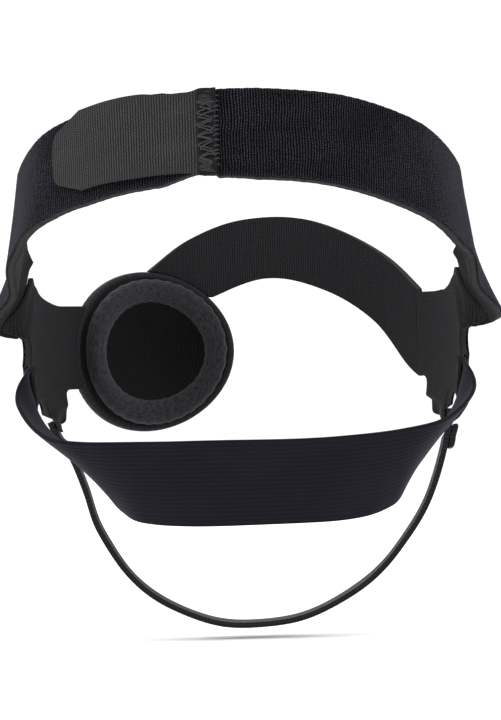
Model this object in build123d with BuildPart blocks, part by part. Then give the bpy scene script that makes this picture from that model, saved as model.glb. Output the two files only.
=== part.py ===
from build123d import *
import os
from math import cos, radians, sin

# Eye patch: one moulded eye cup on a soft two-strap head harness, as worn.
# Frame: +Z to the crown, -Y is the way the face looks, +X is the wearer's left.
# The origin is the middle of the head opening, level with the ear canals.

os.makedirs("parts", exist_ok=True)

# ---- laminate: three bonded layers, measured from its middle surface outwards ----
LAMINATE = 3.2
LINING = 0.5
LOOP_FACE = 0.9
INSIDE = -LAMINATE / 2
OUTSIDE = LAMINATE / 2
LAMINATE_LAYERS = {
    "lining": (INSIDE, INSIDE + LINING),
    "foam": (INSIDE + LINING, OUTSIDE - LOOP_FACE),
    "face": (OUTSIDE - LOOP_FACE, OUTSIDE),
}
ELASTIC = 1.4
WEBBING = 2.0

# ---- the front lies on one upright cylinder that follows the face ----
FACE_RADIUS = 76.4
FACE_Y = -17.0
FRONT_HALF_HEIGHT = 70.0
REACH = 120.0

# ---- side yokes: panels in front of the ears with one leg for each strap ----
PIVOT_Y = -44.0
PIVOT_Z = 6.0
YOKE_HUB = 15.5
YOKE_RADIUS = 24.6
NECK_HALF_WIDTH = 15.0
YOKE_FRONT_Y = -60.0
UPPER_LEG = {"turn": 35.4, "length": 22.9, "width": 24.0}
NAPE_LEG = {"turn": -36.0, "length": YOKE_RADIUS, "width": 20.0}
CHIN_LEG = {"turn": -105.0, "length": YOKE_RADIUS, "width": 15.0}
LEG_FILLET = 6.0

# ---- straps: x, y, z of the middle line, outward lean of the lower edge, width ----
UPPER_HALF = [
    (0, 90, 71, 16, 30),
    (34, 83, 68.5, 16, 30),
    (60, 63, 60.5, 13, 30),
    (72.8, 36, 49.5, 10, 30),
    (76.2, 10, 37, 11, 30),
    (81.3, -12, 26, 26, 30),
    (77.2, -23.7, 20.4, 0, 24),
]
UPPER_DRIFT = 2.5
DRIFT_START_Y = 10.0
DRIFT_END_Y = 70.0
NAPE_RIGHT_HALF = [
    (0, 63, -39.5, -8, 28),
    (30, 57, -39.2, -10, 28),
    (50, 39, -36.5, -22, 28),
    (61, 20, -30, -42, 28),
    (69, 3, -22, -46, 28),
    (73, -12, -15, -24, 26),
    (75.4, -23.3, -9, 0, 20),
]
NAPE_LEFT_HALF = [
    (0, 63, -39.5, -8, 28),
    (30, 57, -39.2, -13, 28),
    (50, 39, -36.5, -40, 28),
    (61, 20, -30, -56, 28),
    (69, 3, -22, -50, 28),
    (73, -12, -15, -24, 26),
    (75.4, -23.3, -9, 0, 20),
]
CHIN = [
    (68.9, -50.5, -20.4, 0, 15),
    (63.5, -50, -31, 0, 15),
    (58, -49, -45, 0, 15),
    (53.5, -50, -59.5, 0, 15),
    (45, -52.5, -74, 0, 15),
    (32, -55.5, -85.5, 0, 15),
    (16, -58, -92.5, 0, 15),
    (0, -59, -95, 0, 15),
    (-17, -58, -93, 0, 15),
    (-33, -55.5, -86, 0, 15),
    (-47, -52, -74.5, 0, 15),
    (-58.5, -49.5, -60, 0, 15),
    (-66, -48.5, -45.5, 0, 15),
    (-70.3, -49, -31.5, 0, 15),
    (-70.4, -50.5, -20.4, 0, 15),
]
HEAD_MIDDLE = (0, 10, 0)
MOUTH = (0, -50, -20)
STEPS = 24
SECTION_PITCH = 9.0

# ---- closure at the back: distances along the upper strap from its middle ----
RIGHT_END = 9.5
SEWN_START = 5.0
SEWN_END = 10.2
TAB_START = 10.5
TAB_TAPER = 50.0
TAB_END = 62.0
LEFT_END = 11.0
TAB_WIDTH = 27.0
TAB_TIP_WIDTH = 15.0
HOOKS_WIDTH = 24.0
HOOKS_TIP_WIDTH = 14.0
LIFT = 0.25
SEWN_LIFT = 0.05
HOOKS = 0.5
TAPE = 0.7

# ---- eye cup ----
CUP_TURN = 29.0
CUP_Z = 4.0
CUP_HALF_WIDTH = 33.0
CUP_HALF_HEIGHT = 29.0
DOME_HALF_WIDTH = 29.0
DOME_HALF_HEIGHT = 25.0
DOME_DEPTH = 20.0
DOME_SUNK = 6.0
CUP_LINING = 0.6
CUP_FOAM = 1.8
CUP_SHELL = 0.8
CUP_WALL = CUP_LINING + CUP_FOAM + CUP_SHELL
BINDING = 2.2
SEAM_GAP = 0.4
CUSHION_DEPTH = 6.0
CUSHION_WIDTH = 9.0
CUSHION_GAP = 0.3
BINDING_PROUD = 0.2

# ---- brow band: points of its lower and upper edges, seen from the front ----
CUP_REACH_Y = -76.0
BROW_START_X = -68.0
BROW_SEAM_GAP = 0.3
BROW_LOWER = [(BROW_START_X, -11), (-60, -4), (-48, 13), (-30, 25), (-8, 30), (16, 22)]
BROW_UPPER = [(36, 33), (20, 45), (0, 52), (-25, 51), (-50, 38), (BROW_START_X, 18)]

# ---- thread and the seams sewn with it ----
THREAD = 0.5
THREAD_HEIGHT = 0.3
ZIGZAG_REACH = 2.2
ZIGZAG_PITCH = 2.4
BARTACK_ZONE = 4.0
BARTACK_PITCH = 0.9
BARTACK_COUNT = 4
STRAP_SEAM = 3.2
SEAM_HALF_WIDTHS = {"upper": 11.0, "nape": 8.5, "chin": 6.0}

# ---- chin strap's folded end on the wearer's right ----
FOLD_FROM = 5.5
FOLD_TO = 12.5
FOLD_LIFT = 0.4
FOLD_THICKNESS = 1.6


def pull(stations, index):
    """Change per span at a station, taken between its two neighbours."""
    before = max(index - 1, 0)
    after = min(index + 1, len(stations) - 1)
    change = zip(stations[before], stations[after])
    return [(b - a) / (after - before) for a, b in change]


def smooth(stations):
    """Closely spaced stations on a curve that runs through all the given ones."""
    samples = []
    for span in range(len(stations) - 1):
        ends = list(
            zip(
                stations[span],
                pull(stations, span),
                stations[span + 1],
                pull(stations, span + 1),
            )
        )
        for step in range(STEPS):
            t = step / STEPS
            start = 2 * t**3 - 3 * t**2 + 1
            leave = t**3 - 2 * t**2 + t
            arrive = t**3 - t**2
            samples.append(
                [a * start + p * leave + b * (1 - start) + q * arrive for a, p, b, q in ends]
            )
    return samples + [list(stations[-1])]


class Strap:
    """A flat strap's middle line, with a section plane at any distance along it."""

    def __init__(self, stations, zero, across, inside):
        """Distances count from station zero; the strap faces away from the inside point."""
        samples = smooth(stations)
        self.across = Vector(*across)
        self.inside = Vector(*inside)
        self.points = [Vector(*sample[:3]) for sample in samples]
        self.trims = [sample[3:] for sample in samples]
        travelled = [0.0]
        for before, after in zip(self.points, self.points[1:]):
            travelled.append(travelled[-1] + (after - before).length)
        self.distances = [d - travelled[zero * STEPS] for d in travelled]
        self.start = self.distances[0]
        self.end = self.distances[-1]

    def locate(self, distance):
        """The sample before a distance, and the share of the way to the next one."""
        index = sum(1 for d in self.distances[1:-1] if d <= distance)
        before, after = self.distances[index], self.distances[index + 1]
        return index, (distance - before) / (after - before)

    def trim(self, distance):
        """Lean in degrees and width at a distance."""
        index, share = self.locate(distance)
        ends = zip(self.trims[index], self.trims[index + 1])
        return [a + (b - a) * share for a, b in ends]

    def plane(self, distance):
        """Section plane: x points out of the head, z along the strap."""
        index, share = self.locate(distance)
        run = self.points[index + 1] - self.points[index]
        along = run.normalized()
        edge = (self.across - along * along.dot(self.across)).normalized()
        middle = self.points[index] + run * share
        out = along.cross(edge)
        if out.dot(middle - self.inside) < 0:
            out = out * -1
        tilt = radians(self.trim(distance)[0])
        return Plane(origin=middle, x_dir=out * cos(tilt) + edge * sin(tilt), z_dir=along)

    def sections(self, start, end, inner, outer, width_at=None):
        """Rectangles across the strap, between two depths from its middle surface."""
        count = max(1, round((end - start) / SECTION_PITCH))
        faces = []
        for i in range(count + 1):
            distance = start + (end - start) * i / count
            width = width_at(distance) if width_at else self.trim(distance)[1]
            with BuildSketch(self.plane(distance)) as section:
                with Locations(((inner + outer) / 2, 0)):
                    Rectangle(outer - inner, width)
            faces.append(section.sketch.face())
        return faces


def save(piece, name):
    """Labels a finished piece and writes it under the same name."""
    piece.part.label = name
    export_step(piece.part, f"parts/{name}.step")


def mirrored(stations):
    """The same stations on the wearer's right, from the yoke to the middle."""
    return [(-station[0], *station[1:]) for station in stations[:0:-1]]


def drifted(station):
    """Moves a station of the upper strap sideways, fully at the back of the head."""
    share = (station[1] - DRIFT_START_Y) / (DRIFT_END_Y - DRIFT_START_Y)
    return (station[0] + UPPER_DRIFT * min(max(share, 0), 1), *station[1:])


def zigzag(strap, distance, depth, half_width, reach=ZIGZAG_REACH):
    """Section, length and direction of each straight thread of a zigzag across a strap."""
    count = int(2 * half_width / ZIGZAG_PITCH)
    plane = strap.plane(distance)
    corners = []
    for i in range(count + 1):
        across = -half_width + 2 * half_width * i / count
        side = reach if i % 2 else -reach
        corners.append(plane.from_local_coords(Vector(depth, across, side)))
    threads = []
    for a, b in zip(corners, corners[1:]):
        run = b - a
        start = a + run.normalized() * THREAD
        threads.append((Plane(start, x_dir=plane.x_dir, z_dir=run), run.length - 2 * THREAD))
    return threads


# ---- straps ----

UPWARDS = (0, 0, 1)
BACKWARDS = (0, 1, 0)
upper = Strap(
    [drifted(s) for s in mirrored(UPPER_HALF) + UPPER_HALF],
    zero=len(UPPER_HALF) - 1,
    across=UPWARDS,
    inside=HEAD_MIDDLE,
)
nape = Strap(
    mirrored(NAPE_RIGHT_HALF) + NAPE_LEFT_HALF,
    zero=len(NAPE_RIGHT_HALF) - 1,
    across=UPWARDS,
    inside=HEAD_MIDDLE,
)
chin = Strap(CHIN, zero=0, across=BACKWARDS, inside=MOUTH)

for layer, (inner, outer) in LAMINATE_LAYERS.items():
    with BuildPart() as upper_strap_right:
        loft(upper.sections(upper.start, RIGHT_END, inner, outer), ruled=True)
    save(upper_strap_right, f"upper_strap_right_{layer}")

    with BuildPart() as upper_strap_left:
        loft(upper.sections(LEFT_END, upper.end, inner, outer), ruled=True)
    save(upper_strap_left, f"upper_strap_left_{layer}")

with BuildPart() as nape_elastic:
    loft(nape.sections(nape.start, nape.end, -ELASTIC / 2, ELASTIC / 2), ruled=True)
save(nape_elastic, "nape_elastic")

with BuildPart() as chin_strap:
    loft(chin.sections(chin.start, chin.end, -WEBBING / 2, WEBBING / 2), ruled=True)
save(chin_strap, "chin_strap")

# ---- hook tab ----

SEWN_IN = OUTSIDE + SEWN_LIFT
HOOKS_IN = OUTSIDE + LIFT
TAPE_IN = HOOKS_IN + HOOKS
TAPE_OUT = TAPE_IN + TAPE


def tapered(width, tip_width):
    """Full width up to the taper, then in a straight line to the tip."""

    def width_at(distance):
        share = max(0, distance - TAB_TAPER) / (TAB_END - TAB_TAPER)
        return width + (tip_width - width) * share

    return width_at


def tape(inner, outer, width, tip_width):
    """Section faces of one layer of the tab, up to the taper and on to the tip."""
    width_at = tapered(width, tip_width)
    body = upper.sections(TAB_START, TAB_TAPER, inner, outer, width_at)
    return body + upper.sections(TAB_TAPER, TAB_END, inner, outer, width_at)[1:]


with BuildPart() as hook_tab_backing:
    loft(tape(TAPE_IN, TAPE_OUT, TAB_WIDTH, TAB_TIP_WIDTH), ruled=True)
save(hook_tab_backing, "hook_tab_backing")

with BuildPart() as hook_tab_hooks:
    loft(tape(HOOKS_IN, TAPE_IN, HOOKS_WIDTH, HOOKS_TIP_WIDTH), ruled=True)
save(hook_tab_hooks, "hook_tab_hooks")

with BuildPart() as hook_tab_sewn_end:
    loft(
        upper.sections(SEWN_START, SEWN_END, SEWN_IN, TAPE_OUT, lambda d: TAB_WIDTH),
        ruled=True,
    )
save(hook_tab_sewn_end, "hook_tab_sewn_end")

TAB_SEAM = (SEWN_START + SEWN_END) / 2

with BuildPart() as tab_zigzag_stitch:
    for section, length in zigzag(
        upper, TAB_SEAM, TAPE_OUT + THREAD, TAB_WIDTH / 2 - BARTACK_ZONE
    ):
        with BuildSketch(section):
            Rectangle(THREAD_HEIGHT, THREAD)
        extrude(amount=length)
save(tab_zigzag_stitch, "tab_zigzag_stitch")

with BuildPart() as tab_bartacks:
    for side in (-1, 1):
        for row in range(BARTACK_COUNT):
            across = side * (TAB_WIDTH / 2 - THREAD - row * BARTACK_PITCH)
            seam = upper.plane(TAB_SEAM)
            start = seam.from_local_coords(Vector(TAPE_OUT + THREAD, across, -ZIGZAG_REACH))
            with BuildSketch(Plane(start, x_dir=seam.x_dir, z_dir=seam.z_dir)):
                Rectangle(THREAD_HEIGHT, THREAD)
            extrude(amount=2 * ZIGZAG_REACH)
save(tab_bartacks, "tab_bartacks")

# ---- seams of the straps, sewn near their ends ----

seams = {
    "upper_seam_stitch_right": (upper, upper.start + STRAP_SEAM, OUTSIDE),
    "upper_seam_stitch_left": (upper, upper.end - STRAP_SEAM, OUTSIDE),
    "nape_seam_stitch_right": (nape, nape.start + STRAP_SEAM, ELASTIC / 2),
    "nape_seam_stitch_left": (nape, nape.end - STRAP_SEAM, ELASTIC / 2),
    "chin_seam_stitch_right": (chin, chin.end - STRAP_SEAM, WEBBING / 2),
    "chin_seam_stitch_left": (chin, chin.start + STRAP_SEAM, WEBBING / 2),
}
for name, (strap, distance, surface) in seams.items():
    half_width = SEAM_HALF_WIDTHS[name.split("_")[0]]
    with BuildPart() as seam_stitch:
        for section, length in zigzag(strap, distance, surface + THREAD, half_width):
            with BuildSketch(section):
                Rectangle(THREAD_HEIGHT, THREAD)
            extrude(amount=length)
    save(seam_stitch, name)

# ---- chin strap's folded end ----

with BuildPart() as chin_strap_fold:
    loft(
        chin.sections(
            chin.end - FOLD_TO,
            chin.end - FOLD_FROM,
            WEBBING / 2 + FOLD_LIFT,
            WEBBING / 2 + FOLD_LIFT + FOLD_THICKNESS,
        ),
        ruled=True,
    )
save(chin_strap_fold, "chin_strap_fold")

# ---- front panels, cut from rings of laminate around the face cylinder ----

turn = radians(CUP_TURN)
cup_plane = Plane(
    origin=(FACE_RADIUS * sin(turn), FACE_Y - FACE_RADIUS * cos(turn), CUP_Z),
    x_dir=(cos(turn), sin(turn), 0),
    z_dir=(sin(turn), -cos(turn), 0),
)


def ring(inner, outer):
    """A ring between two depths from the middle surface of the face cylinder."""
    with BuildSketch(Plane.XY.offset(-FRONT_HALF_HEIGHT)) as section:
        with Locations((0, FACE_Y)):
            Circle(FACE_RADIUS + outer)
            Circle(FACE_RADIUS + inner, mode=Mode.SUBTRACT)
    return section.sketch


def yoke_outline(front_y):
    """Hub with a leg for each strap and a neck that runs forward."""
    with BuildSketch(Plane.YZ) as outline:
        with Locations((PIVOT_Y, PIVOT_Z)):
            Circle(YOKE_HUB)
        for leg in (UPPER_LEG, NAPE_LEG, CHIN_LEG):
            with Locations(Location((PIVOT_Y, PIVOT_Z), leg["turn"])):
                Rectangle(leg["length"], leg["width"], align=(Align.MIN, Align.CENTER))
        offset(amount=LEG_FILLET)
        offset(amount=-LEG_FILLET)
        with Locations((PIVOT_Y, PIVOT_Z)):
            Circle(YOKE_RADIUS, mode=Mode.INTERSECT)
            Rectangle(
                PIVOT_Y - front_y, 2 * NECK_HALF_WIDTH, align=(Align.MAX, Align.CENTER)
            )
    return outline.sketch


for layer, (inner, outer) in LAMINATE_LAYERS.items():
    with BuildPart() as right_yoke:
        add(extrude(ring(inner, outer), amount=2 * FRONT_HALF_HEIGHT, mode=Mode.PRIVATE))
        extrude(yoke_outline(YOKE_FRONT_Y), amount=-REACH, mode=Mode.INTERSECT)
    save(right_yoke, f"right_yoke_{layer}")

    with BuildPart() as left_yoke:
        add(extrude(ring(inner, outer), amount=2 * FRONT_HALF_HEIGHT, mode=Mode.PRIVATE))
        extrude(yoke_outline(CUP_REACH_Y), amount=REACH, mode=Mode.INTERSECT)
        with BuildSketch(cup_plane):
            Ellipse(CUP_HALF_WIDTH + SEAM_GAP, CUP_HALF_HEIGHT + SEAM_GAP)
        extrude(amount=REACH, both=True, mode=Mode.SUBTRACT)
    save(left_yoke, f"left_yoke_{layer}")

    with BuildPart() as brow_band:
        add(extrude(ring(inner, outer), amount=2 * FRONT_HALF_HEIGHT, mode=Mode.PRIVATE))
        with BuildSketch(Plane.XZ):
            with BuildLine():
                low = Spline(*BROW_LOWER)
                high = Spline(*BROW_UPPER)
                Line(low @ 1, high @ 0)
                Line(high @ 1, low @ 0)
            make_face()
        extrude(amount=REACH, mode=Mode.INTERSECT)
        with BuildSketch(cup_plane):
            Ellipse(CUP_HALF_WIDTH + SEAM_GAP, CUP_HALF_HEIGHT + SEAM_GAP)
        extrude(amount=REACH, both=True, mode=Mode.SUBTRACT)
        split(bisect_by=Plane.XZ.offset(BROW_SEAM_GAP - YOKE_FRONT_Y), keep=Keep.TOP)
    save(brow_band, f"brow_band_{layer}")

# ---- eye cup: a dome on a flange that follows the face, in three layers ----


def dome(inset):
    """Half-egg solid of the cup, with its surface moved in by an inset."""
    with BuildPart() as egg:
        Sphere(1)
        scale(
            by=(
                DOME_HALF_WIDTH - inset,
                DOME_HALF_HEIGHT - inset,
                DOME_DEPTH - inset,
            )
        )
    return cup_plane.offset(-DOME_SUNK) * egg.part


CUP_LAYERS = {
    "eye_cup_shell": (CUP_FOAM + CUP_LINING, CUP_WALL),
    "eye_cup_core": (CUP_LINING, CUP_FOAM + CUP_LINING),
    "eye_cup_lining": (0, CUP_LINING),
}
for name, (low, high) in CUP_LAYERS.items():
    with BuildPart() as cup_layer:
        add(
            extrude(
                ring(INSIDE + low, INSIDE + high),
                amount=2 * FRONT_HALF_HEIGHT,
                mode=Mode.PRIVATE,
            )
        )
        with BuildSketch(cup_plane):
            Ellipse(CUP_HALF_WIDTH - BINDING, CUP_HALF_HEIGHT - BINDING)
        extrude(amount=REACH, mode=Mode.INTERSECT, both=True)
        with BuildPart(mode=Mode.PRIVATE) as bulge:
            add(dome(CUP_WALL - high))
            with BuildSketch(Plane.XY.offset(-FRONT_HALF_HEIGHT)):
                with Locations((0, FACE_Y)):
                    Circle(FACE_RADIUS + INSIDE + low)
            extrude(amount=2 * FRONT_HALF_HEIGHT, mode=Mode.SUBTRACT)
        add(bulge.part)
        add(dome(CUP_WALL - low), mode=Mode.SUBTRACT)
    save(cup_layer, name)

with BuildPart() as cup_edge_binding:
    add(
        extrude(
            ring(INSIDE - BINDING_PROUD, OUTSIDE + BINDING_PROUD),
            amount=2 * FRONT_HALF_HEIGHT,
            mode=Mode.PRIVATE,
        )
    )
    with BuildSketch(cup_plane):
        Ellipse(CUP_HALF_WIDTH, CUP_HALF_HEIGHT)
        Ellipse(CUP_HALF_WIDTH - BINDING, CUP_HALF_HEIGHT - BINDING, mode=Mode.SUBTRACT)
    extrude(amount=REACH / 4, mode=Mode.INTERSECT, both=True)
save(cup_edge_binding, "cup_edge_binding")

with BuildPart() as eye_cushion_ring:
    top = INSIDE - CUSHION_GAP
    add(
        extrude(
            ring(top - CUSHION_DEPTH, top), amount=2 * FRONT_HALF_HEIGHT, mode=Mode.PRIVATE
        )
    )
    with BuildSketch(cup_plane):
        Ellipse(CUP_HALF_WIDTH - BINDING, CUP_HALF_HEIGHT - BINDING)
        Ellipse(
            CUP_HALF_WIDTH - BINDING - CUSHION_WIDTH,
            CUP_HALF_HEIGHT - BINDING - CUSHION_WIDTH,
            mode=Mode.SUBTRACT,
        )
    extrude(amount=REACH / 4, mode=Mode.INTERSECT, both=True)
save(eye_cushion_ring, "eye_cushion_ring")
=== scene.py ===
from math import atan2, cos, pi, radians, sin, sqrt

import bmesh
import bpy
import numpy as np
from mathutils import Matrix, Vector
from mathutils.geometry import delaunay_2d_cdt


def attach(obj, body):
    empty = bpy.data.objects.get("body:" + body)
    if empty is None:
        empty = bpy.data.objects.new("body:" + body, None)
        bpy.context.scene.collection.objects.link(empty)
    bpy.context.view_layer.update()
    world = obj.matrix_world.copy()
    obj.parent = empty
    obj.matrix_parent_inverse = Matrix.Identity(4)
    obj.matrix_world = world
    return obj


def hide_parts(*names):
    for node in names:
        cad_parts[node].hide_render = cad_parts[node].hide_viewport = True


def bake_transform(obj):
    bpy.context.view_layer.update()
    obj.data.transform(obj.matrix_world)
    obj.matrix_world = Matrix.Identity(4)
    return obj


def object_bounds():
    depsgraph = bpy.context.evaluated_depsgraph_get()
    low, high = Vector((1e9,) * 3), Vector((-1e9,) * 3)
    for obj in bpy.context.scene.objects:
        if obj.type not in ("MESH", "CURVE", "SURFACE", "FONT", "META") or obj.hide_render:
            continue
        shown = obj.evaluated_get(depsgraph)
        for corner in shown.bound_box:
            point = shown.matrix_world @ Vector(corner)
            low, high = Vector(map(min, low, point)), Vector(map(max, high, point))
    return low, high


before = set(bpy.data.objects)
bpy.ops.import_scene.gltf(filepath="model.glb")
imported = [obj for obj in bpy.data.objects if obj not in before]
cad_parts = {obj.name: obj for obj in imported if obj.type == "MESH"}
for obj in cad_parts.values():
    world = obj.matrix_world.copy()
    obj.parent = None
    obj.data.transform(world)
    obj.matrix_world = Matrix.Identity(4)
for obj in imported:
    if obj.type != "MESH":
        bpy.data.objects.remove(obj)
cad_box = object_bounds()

# Everything below is worked out in millimetres and turned into metres when a mesh is made.
MM = 0.001
TURN = 2 * pi
CLOTH = "Cloth"
rng = np.random.default_rng(7)

# ---- laminate: depths from its middle surface outwards ----
LAMINATE = 3.2
LINING = 0.5
LOOP_FACE = 0.9
INSIDE = -LAMINATE / 2
OUTSIDE = LAMINATE / 2
LAYERS = {
    "lining": (INSIDE, INSIDE + LINING),
    "foam": (INSIDE + LINING, OUTSIDE - LOOP_FACE),
    "face": (OUTSIDE - LOOP_FACE, OUTSIDE),
}
ELASTIC = 1.4
WEBBING = 2.0
FACE_RADIUS = 76.4
FACE_Y = -17.0
HEAD_MIDDLE = (0, 10, 0)
JAW_MIDDLE = (0, -50, -20)

# ---- straps: x, y, z of the middle line, then outward lean of the lower edge, and width ----
UPPER_HALF = [
    (0, 90, 71, 16, 30),
    (34, 83, 68.5, 16, 30),
    (60, 63, 60.5, 13, 30),
    (72.8, 36, 49.5, 10, 30),
    (76.2, 10, 37, 11, 30),
    (81.3, -12, 26, 26, 30),
    (77.2, -23.7, 20.4, 0, 24),
]
UPPER_DRIFT = 2.5
DRIFT_START_Y = 10.0
DRIFT_END_Y = 70.0
NAPE_MIDDLE = [
    (0, 63, -39.5),
    (30, 57, -39.2),
    (50, 39, -36.5),
    (61, 20, -30),
    (69, 3, -22),
    (73, -12, -15),
    (75.4, -23.3, -9),
]
NAPE_WIDTHS = (28, 28, 28, 28, 28, 26, 20)
NAPE_RIGHT_LEANS = (-8, -10, -22, -42, -46, -24, 0)
NAPE_LEFT_LEANS = (-8, -13, -40, -56, -50, -24, 0)
CHIN_WIDTH = 15
CHIN_MIDDLE = [
    (68.9, -50.5, -20.4),
    (63.5, -50, -31),
    (58, -49, -45),
    (53.5, -50, -59.5),
    (45, -52.5, -74),
    (32, -55.5, -85.5),
    (16, -58, -92.5),
    (0, -59, -95),
    (-17, -58, -93),
    (-33, -55.5, -86),
    (-47, -52, -74.5),
    (-58.5, -49.5, -60),
    (-66, -48.5, -45.5),
    (-70.3, -49, -31.5),
    (-70.4, -50.5, -20.4),
]
STEPS = 24

# ---- closure at the back: distances along the upper strap ----
RIGHT_END = 9.5
SEWN_START = 5.0
SEWN_END = 10.2
TAB_START = 10.5
TAB_TAPER = 50.0
TAB_END = 62.0
LEFT_END = 11.0
LEFT_CORNER = 2.4
TAB_WIDTH = 27.0
TAB_TIP_WIDTH = 15.0
HOOKS_IN = OUTSIDE + 0.25
TAPE_IN = HOOKS_IN + 0.5
TAPE_OUT = TAPE_IN + 0.7


# ---------------------------------------------------------------- strap geometry


def unit(rows):
    """Each row scaled to length 1."""
    return rows / np.linalg.norm(rows, axis=1)[:, None]


def run(path):
    """How far along a path each of its points lies."""
    return np.concatenate([[0], np.cumsum(np.linalg.norm(np.diff(path, axis=0), axis=1))])


def rows_at(stops, distance, rows):
    """Rows interpolated where the distance reaches each stop."""
    return np.stack([np.interp(stops, distance, column) for column in rows.T], -1)


def share_of(value, low, high):
    """0 below low, 1 above high, and even between."""
    return np.clip((value - low) / (high - low), 0, 1)


def ease(value, low, high):
    """0 below low, 1 above high, and smooth between."""
    share = share_of(value, low, high)
    return share * share * (3 - 2 * share)


def hump(value, size, *ends):
    """Rises to a size between the first two values and falls between the last two."""
    return size * ease(value, *ends[:2]) * (1 - ease(value, *ends[2:]))


def smooth(stations):
    """Closely spaced rows on a curve through the stations, as an array."""
    rows = np.array(stations, float)
    pulls = np.gradient(rows, axis=0)
    out = []
    for a, p, b, q in zip(rows, pulls, rows[1:], pulls[1:]):
        for step in range(STEPS):
            t = step / STEPS
            start = 2 * t**3 - 3 * t**2 + 1
            leave = t**3 - 2 * t**2 + t
            arrive = t**3 - t**2
            out.append(a * start + p * leave + b * (1 - start) + q * arrive)
    return np.array(out + [rows[-1]])


class Strap:
    """A flat strap's middle line; place() puts points on it by distance, height and depth."""

    def __init__(self, stations, zero, across, inside):
        rows = smooth(stations)
        self.middle, self.widths = rows[:, :3], rows[:, 4]
        travelled = run(self.middle)
        self.distance = travelled - travelled[zero * STEPS]
        self.start, self.end = self.distance[0], self.distance[-1]
        self.along = unit(np.gradient(self.middle, self.distance, axis=0))
        edge = unit(across - self.along * (self.along @ across)[:, None])
        out = np.cross(self.along, edge)
        out *= np.sign(((self.middle - inside) * out).sum(1))[:, None]
        lean = np.radians(rows[:, 3:4])
        cosine, sine = np.cos(lean), np.sin(lean)
        self.up = edge * cosine - out * sine
        self.out = out * cosine + edge * sine

    def width(self, distance):
        return np.interp(distance, self.distance, self.widths)

    def place(self, distance, height, depth):
        """Points in mm: distance along, height up the strap, depth outwards."""
        distance = np.asarray(distance, float)
        inside = np.clip(distance, self.start, self.end)
        point, along, up, out = (
            rows_at(inside, self.distance, rows)
            for rows in (self.middle, self.along, self.up, self.out)
        )
        point = point + along * (distance - inside)[..., None]
        return point + up * np.asarray(height)[..., None] + out * np.asarray(depth)[..., None]


def drifted(station):
    """Moves a station of the upper strap sideways, fully at the back of the head."""
    share = share_of(station[1], DRIFT_START_Y, DRIFT_END_Y)
    return (station[0] + UPPER_DRIFT * share, *station[1:])


def mirrored(stations):
    """The same stations on the wearer's right, without the middle one."""
    return [(-station[0], *station[1:]) for station in stations[:0:-1]]


UPWARD, BACKWARD = np.array([0.0, 0.0, 1.0]), np.array([0.0, 1.0, 0.0])
upper_stations = [drifted(s) for s in mirrored(UPPER_HALF) + UPPER_HALF]
nape_right, nape_left = (
    [(*middle, lean, width) for middle, lean, width in zip(NAPE_MIDDLE, leans, NAPE_WIDTHS)]
    for leans in (NAPE_RIGHT_LEANS, NAPE_LEFT_LEANS)
)
upper = Strap(upper_stations, len(UPPER_HALF) - 1, UPWARD, HEAD_MIDDLE)
nape = Strap(mirrored(nape_right) + nape_left, len(NAPE_MIDDLE) - 1, UPWARD, HEAD_MIDDLE)
chin = Strap([(*middle, 0, CHIN_WIDTH) for middle in CHIN_MIDDLE], 0, BACKWARD, JAW_MIDDLE)


class FaceCylinder:
    """The upright cylinder that the front lies on: u runs round it from the nose, v is height."""

    def place(self, u, v, depth):
        angle = np.asarray(u, float) / FACE_RADIUS
        reach = FACE_RADIUS + np.asarray(depth, float)
        x, y = reach * np.sin(angle), FACE_Y - reach * np.cos(angle)
        return np.stack(np.broadcast_arrays(x, y, np.asarray(v, float)), -1)

    def from_side(self, y):
        """Distance round the cylinder, on the wearer's left, of a point at depth y."""
        return FACE_RADIUS * np.arccos((FACE_Y - np.asarray(y, float)) / FACE_RADIUS)

    def from_front(self, x):
        return FACE_RADIUS * np.arcsin(np.asarray(x, float) / FACE_RADIUS)

    def read(self, points):
        """Distance round, height and depth of points near the cylinder."""
        x, y = points[..., 0], FACE_Y - points[..., 1]
        return np.stack(
            [np.arctan2(x, y) * FACE_RADIUS, points[..., 2], np.hypot(x, y) - FACE_RADIUS], -1
        )


face = FaceCylinder()

# ---------------------------------------------------------------- mesh building


def piece(name, points, faces, uvs, look, cleaned=True):
    """Mesh object from points in mm, faces as index lists and one uv pair in mm per corner."""
    mesh = bpy.data.meshes.new(name)
    mesh.from_pydata([tuple(p) for p in np.asarray(points) * MM], [], faces)
    layer = mesh.uv_layers.new(name=CLOTH)
    layer.data.foreach_set("uv", np.asarray(uvs, np.float32).ravel())
    mesh.polygons.foreach_set("use_smooth", [True] * len(mesh.polygons))
    mesh.materials.append(look)
    mesh.validate()
    mesh.update()
    made = bpy.data.objects.new(name, mesh)
    bpy.context.scene.collection.objects.link(made)
    if cleaned:
        clean_loose(made)
    return made


CAP_STEP = 0.1


def spread(start, end, pitch):
    """Evenly spaced values from start to end, about pitch apart."""
    return np.linspace(start, end, max(2, int(round(abs(end - start) / pitch)) + 1))


def rounded_section(inner, outer, across, corner):
    """Section of a strip: rows of (share of half-width, extra height, depth)."""
    bends = np.radians([90, 60, 30, 0])
    flat = np.linspace(-1, 1, across)

    def turn(side, way, angles):
        """One rounded corner, at the upper or lower edge and outwards or inwards."""
        middle = outer - corner if way > 0 else inner + corner
        return [(side, side * corner * cos(b), middle + way * corner * sin(b)) for b in angles]

    ring = [(share, 0.0, outer) for share in flat]
    ring += turn(1.0, 1, bends[1:]) + turn(1.0, -1, bends[:0:-1])
    ring += [(share, 0.0, inner) for share in flat[::-1]]
    ring += turn(-1.0, -1, bends[1:]) + turn(-1.0, 1, bends[:0:-1])
    return np.array(ring)


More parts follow.
